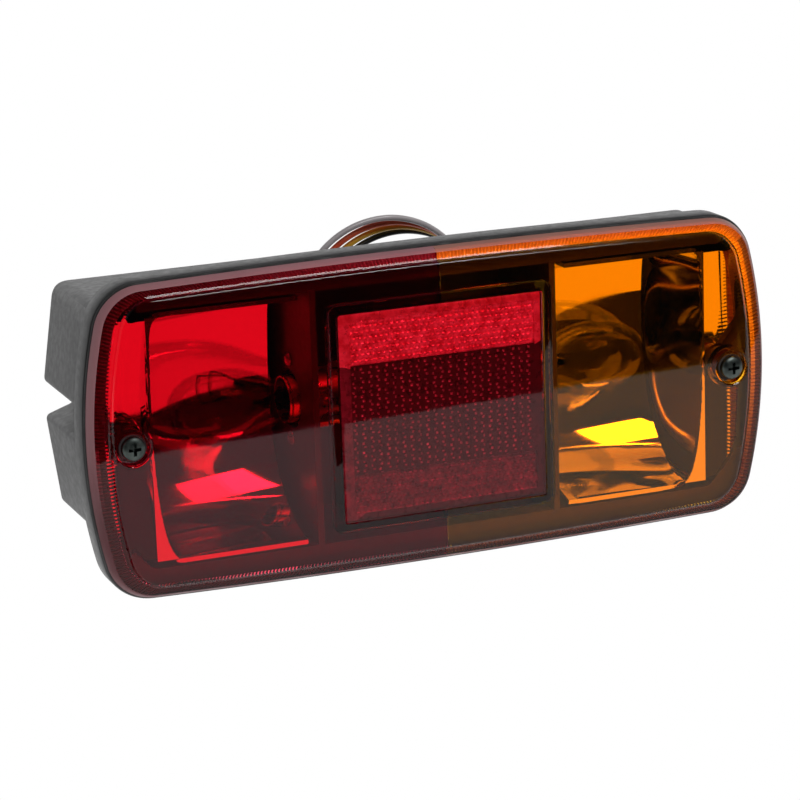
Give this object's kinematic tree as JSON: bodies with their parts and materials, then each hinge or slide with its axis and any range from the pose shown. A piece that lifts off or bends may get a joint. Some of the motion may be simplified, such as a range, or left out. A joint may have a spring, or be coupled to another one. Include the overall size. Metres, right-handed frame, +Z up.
{
  "type": "trailer tail light",
  "caption": "Rear combination lamp for a trailer: a red and amber lens with a central reflex reflector, screwed over a black housing with chromed reflectors and bayonet bulbs.",
  "frame": {"origin": "centre of the flat rear mounting face of the housing", "axes": "+X to the right along the lamp seen from the front, +Z up, the lens faces -Y and the mounting face looks along +Y"},
  "size_m": [0.2248, 0.0644, 0.1],
  "materials": {
    "black_plastic": "satin moulded, faint sparkle texture",
    "rubber": "matt",
    "red_lens": "transparent, polished",
    "amber_lens": "transparent, polished",
    "reflex_red": "transparent, prismatic back",
    "black_zinc": "black passivated zinc",
    "zinc_steel": "bright zinc plate",
    "chrome": "vacuum metallised, mirror",
    "phenolic": "pressed phenolic",
    "spring_steel": "drawn wire",
    "brass": "bright",
    "black_glass": "fused glass",
    "clear_glass": "clear",
    "filament": "drawn tungsten and nickel wire",
    "wire_grey": "PVC insulation",
    "wire_orange": "PVC insulation",
    "wire_yellow": "PVC insulation",
    "wire_black": "PVC insulation"
  },
  "bodies": {
    "housing_body": {"housing": "black_plastic", "lens_gasket": "rubber", "reflector_red": "chrome", "reflector_amber": "chrome", "socket_red": "zinc_steel", "socket_amber": "zinc_steel", "contact_spring_red": "spring_steel", "contact_spring_amber": "spring_steel", "socket_rivet_red_upper": "zinc_steel", "socket_rivet_red_lower": "zinc_steel", "socket_rivet_amber_upper": "zinc_steel", "socket_rivet_amber_lower": "zinc_steel", "earth_strip": "brass", "cable_grommet": "rubber", "lead_tail": "wire_grey", "lead_stop": "wire_orange", "lead_indicator": "wire_yellow", "lead_earth": "wire_black", "mounting_bolt_left": "zinc_steel", "mounting_bolt_right": "zinc_steel"},
    "lens": {"lens_red": "red_lens", "lens_amber": "amber_lens", "reflex_reflector": "reflex_red"},
    "seal_left": {"screw_seal_left": "rubber"},
    "screw_left": {"lens_screw_left": "black_zinc"},
    "seal_right": {"screw_seal_right": "rubber"},
    "screw_right": {"lens_screw_right": "black_zinc"},
    "washer_left": {"washer_left": "zinc_steel"},
    "nut_left": {"nut_left": "zinc_steel"},
    "washer_right": {"washer_right": "zinc_steel"},
    "nut_right": {"nut_right": "zinc_steel"},
    "contacts_red": {"contact_carrier_red": "phenolic", "contact_red_tail": "brass", "contact_red_stop": "brass"},
    "bulb_red": {"bulb_cap_red": "brass", "bulb_insulator_red": "black_glass", "bulb_glass_red": "clear_glass", "bulb_filament_red": "filament"},
    "contacts_amber": {"contact_carrier_amber": "phenolic", "contact_amber_feed": "brass"},
    "bulb_amber": {"bulb_cap_amber": "brass", "bulb_insulator_amber": "black_glass", "bulb_glass_amber": "clear_glass", "bulb_filament_amber": "filament"}
  },
  "joints": [
    {"name": "lens_lift", "type": "slide", "parent": "housing_body", "child": "lens", "axis": [0, -1, 0], "range_m": [0, 0.03]},
    {"name": "screw_left_out", "type": "slide", "parent": "lens", "child": "seal_left", "axis": [0, -1, 0], "range_m": [0, 0.0078]},
    {"name": "screw_left_turn", "type": "hinge", "parent": "seal_left", "child": "screw_left", "pos_m": [-0.0985, -0.047, 0], "axis": [0, -1, 0], "range_deg": [0, 2160]},
    {"name": "screw_right_out", "type": "slide", "parent": "lens", "child": "seal_right", "axis": [0, -1, 0], "range_m": [0, 0.0078]},
    {"name": "screw_right_turn", "type": "hinge", "parent": "seal_right", "child": "screw_right", "pos_m": [0.0985, -0.047, 0], "axis": [0, -1, 0], "range_deg": [0, 2160]},
    {"name": "nut_left_off", "type": "slide", "parent": "housing_body", "child": "washer_left", "axis": [0, 1, 0], "range_m": [0, 0.008]},
    {"name": "nut_left_turn", "type": "hinge", "parent": "washer_left", "child": "nut_left", "pos_m": [-0.062, 0.004, 0], "axis": [0, 1, 0], "range_deg": [0, 2880]},
    {"name": "nut_right_off", "type": "slide", "parent": "housing_body", "child": "washer_right", "axis": [0, 1, 0], "range_m": [0, 0.008]},
    {"name": "nut_right_turn", "type": "hinge", "parent": "washer_right", "child": "nut_right", "pos_m": [0.062, 0.004, 0], "axis": [0, 1, 0], "range_deg": [0, 2880]},
    {"name": "bulb_red_push", "type": "slide", "parent": "housing_body", "child": "contacts_red", "axis": [1, 0, 0], "range_m": [0, 0.002]},
    {"name": "bulb_red_twist", "type": "hinge", "parent": "contacts_red", "child": "bulb_red", "pos_m": [-0.03, -0.022, 0.002], "axis": [-1, 0, 0], "range_deg": [0, 20]},
    {"name": "bulb_amber_push", "type": "slide", "parent": "housing_body", "child": "contacts_amber", "axis": [-1, 0, 0], "range_m": [0, 0.002]},
    {"name": "bulb_amber_twist", "type": "hinge", "parent": "contacts_amber", "child": "bulb_amber", "pos_m": [0.03, -0.022, 0.002], "axis": [1, 0, 0], "range_deg": [0, 20]}
  ],
  "couplings": [
    {"joint": "screw_left_turn", "follows": "screw_left_out", "rad_per_m": 4833.2},
    {"joint": "screw_right_turn", "follows": "screw_right_out", "rad_per_m": 4833.2},
    {"joint": "nut_left_turn", "follows": "nut_left_off", "rad_per_m": 6283.2},
    {"joint": "nut_right_turn", "follows": "nut_right_off", "rad_per_m": 6283.2}
  ]
}
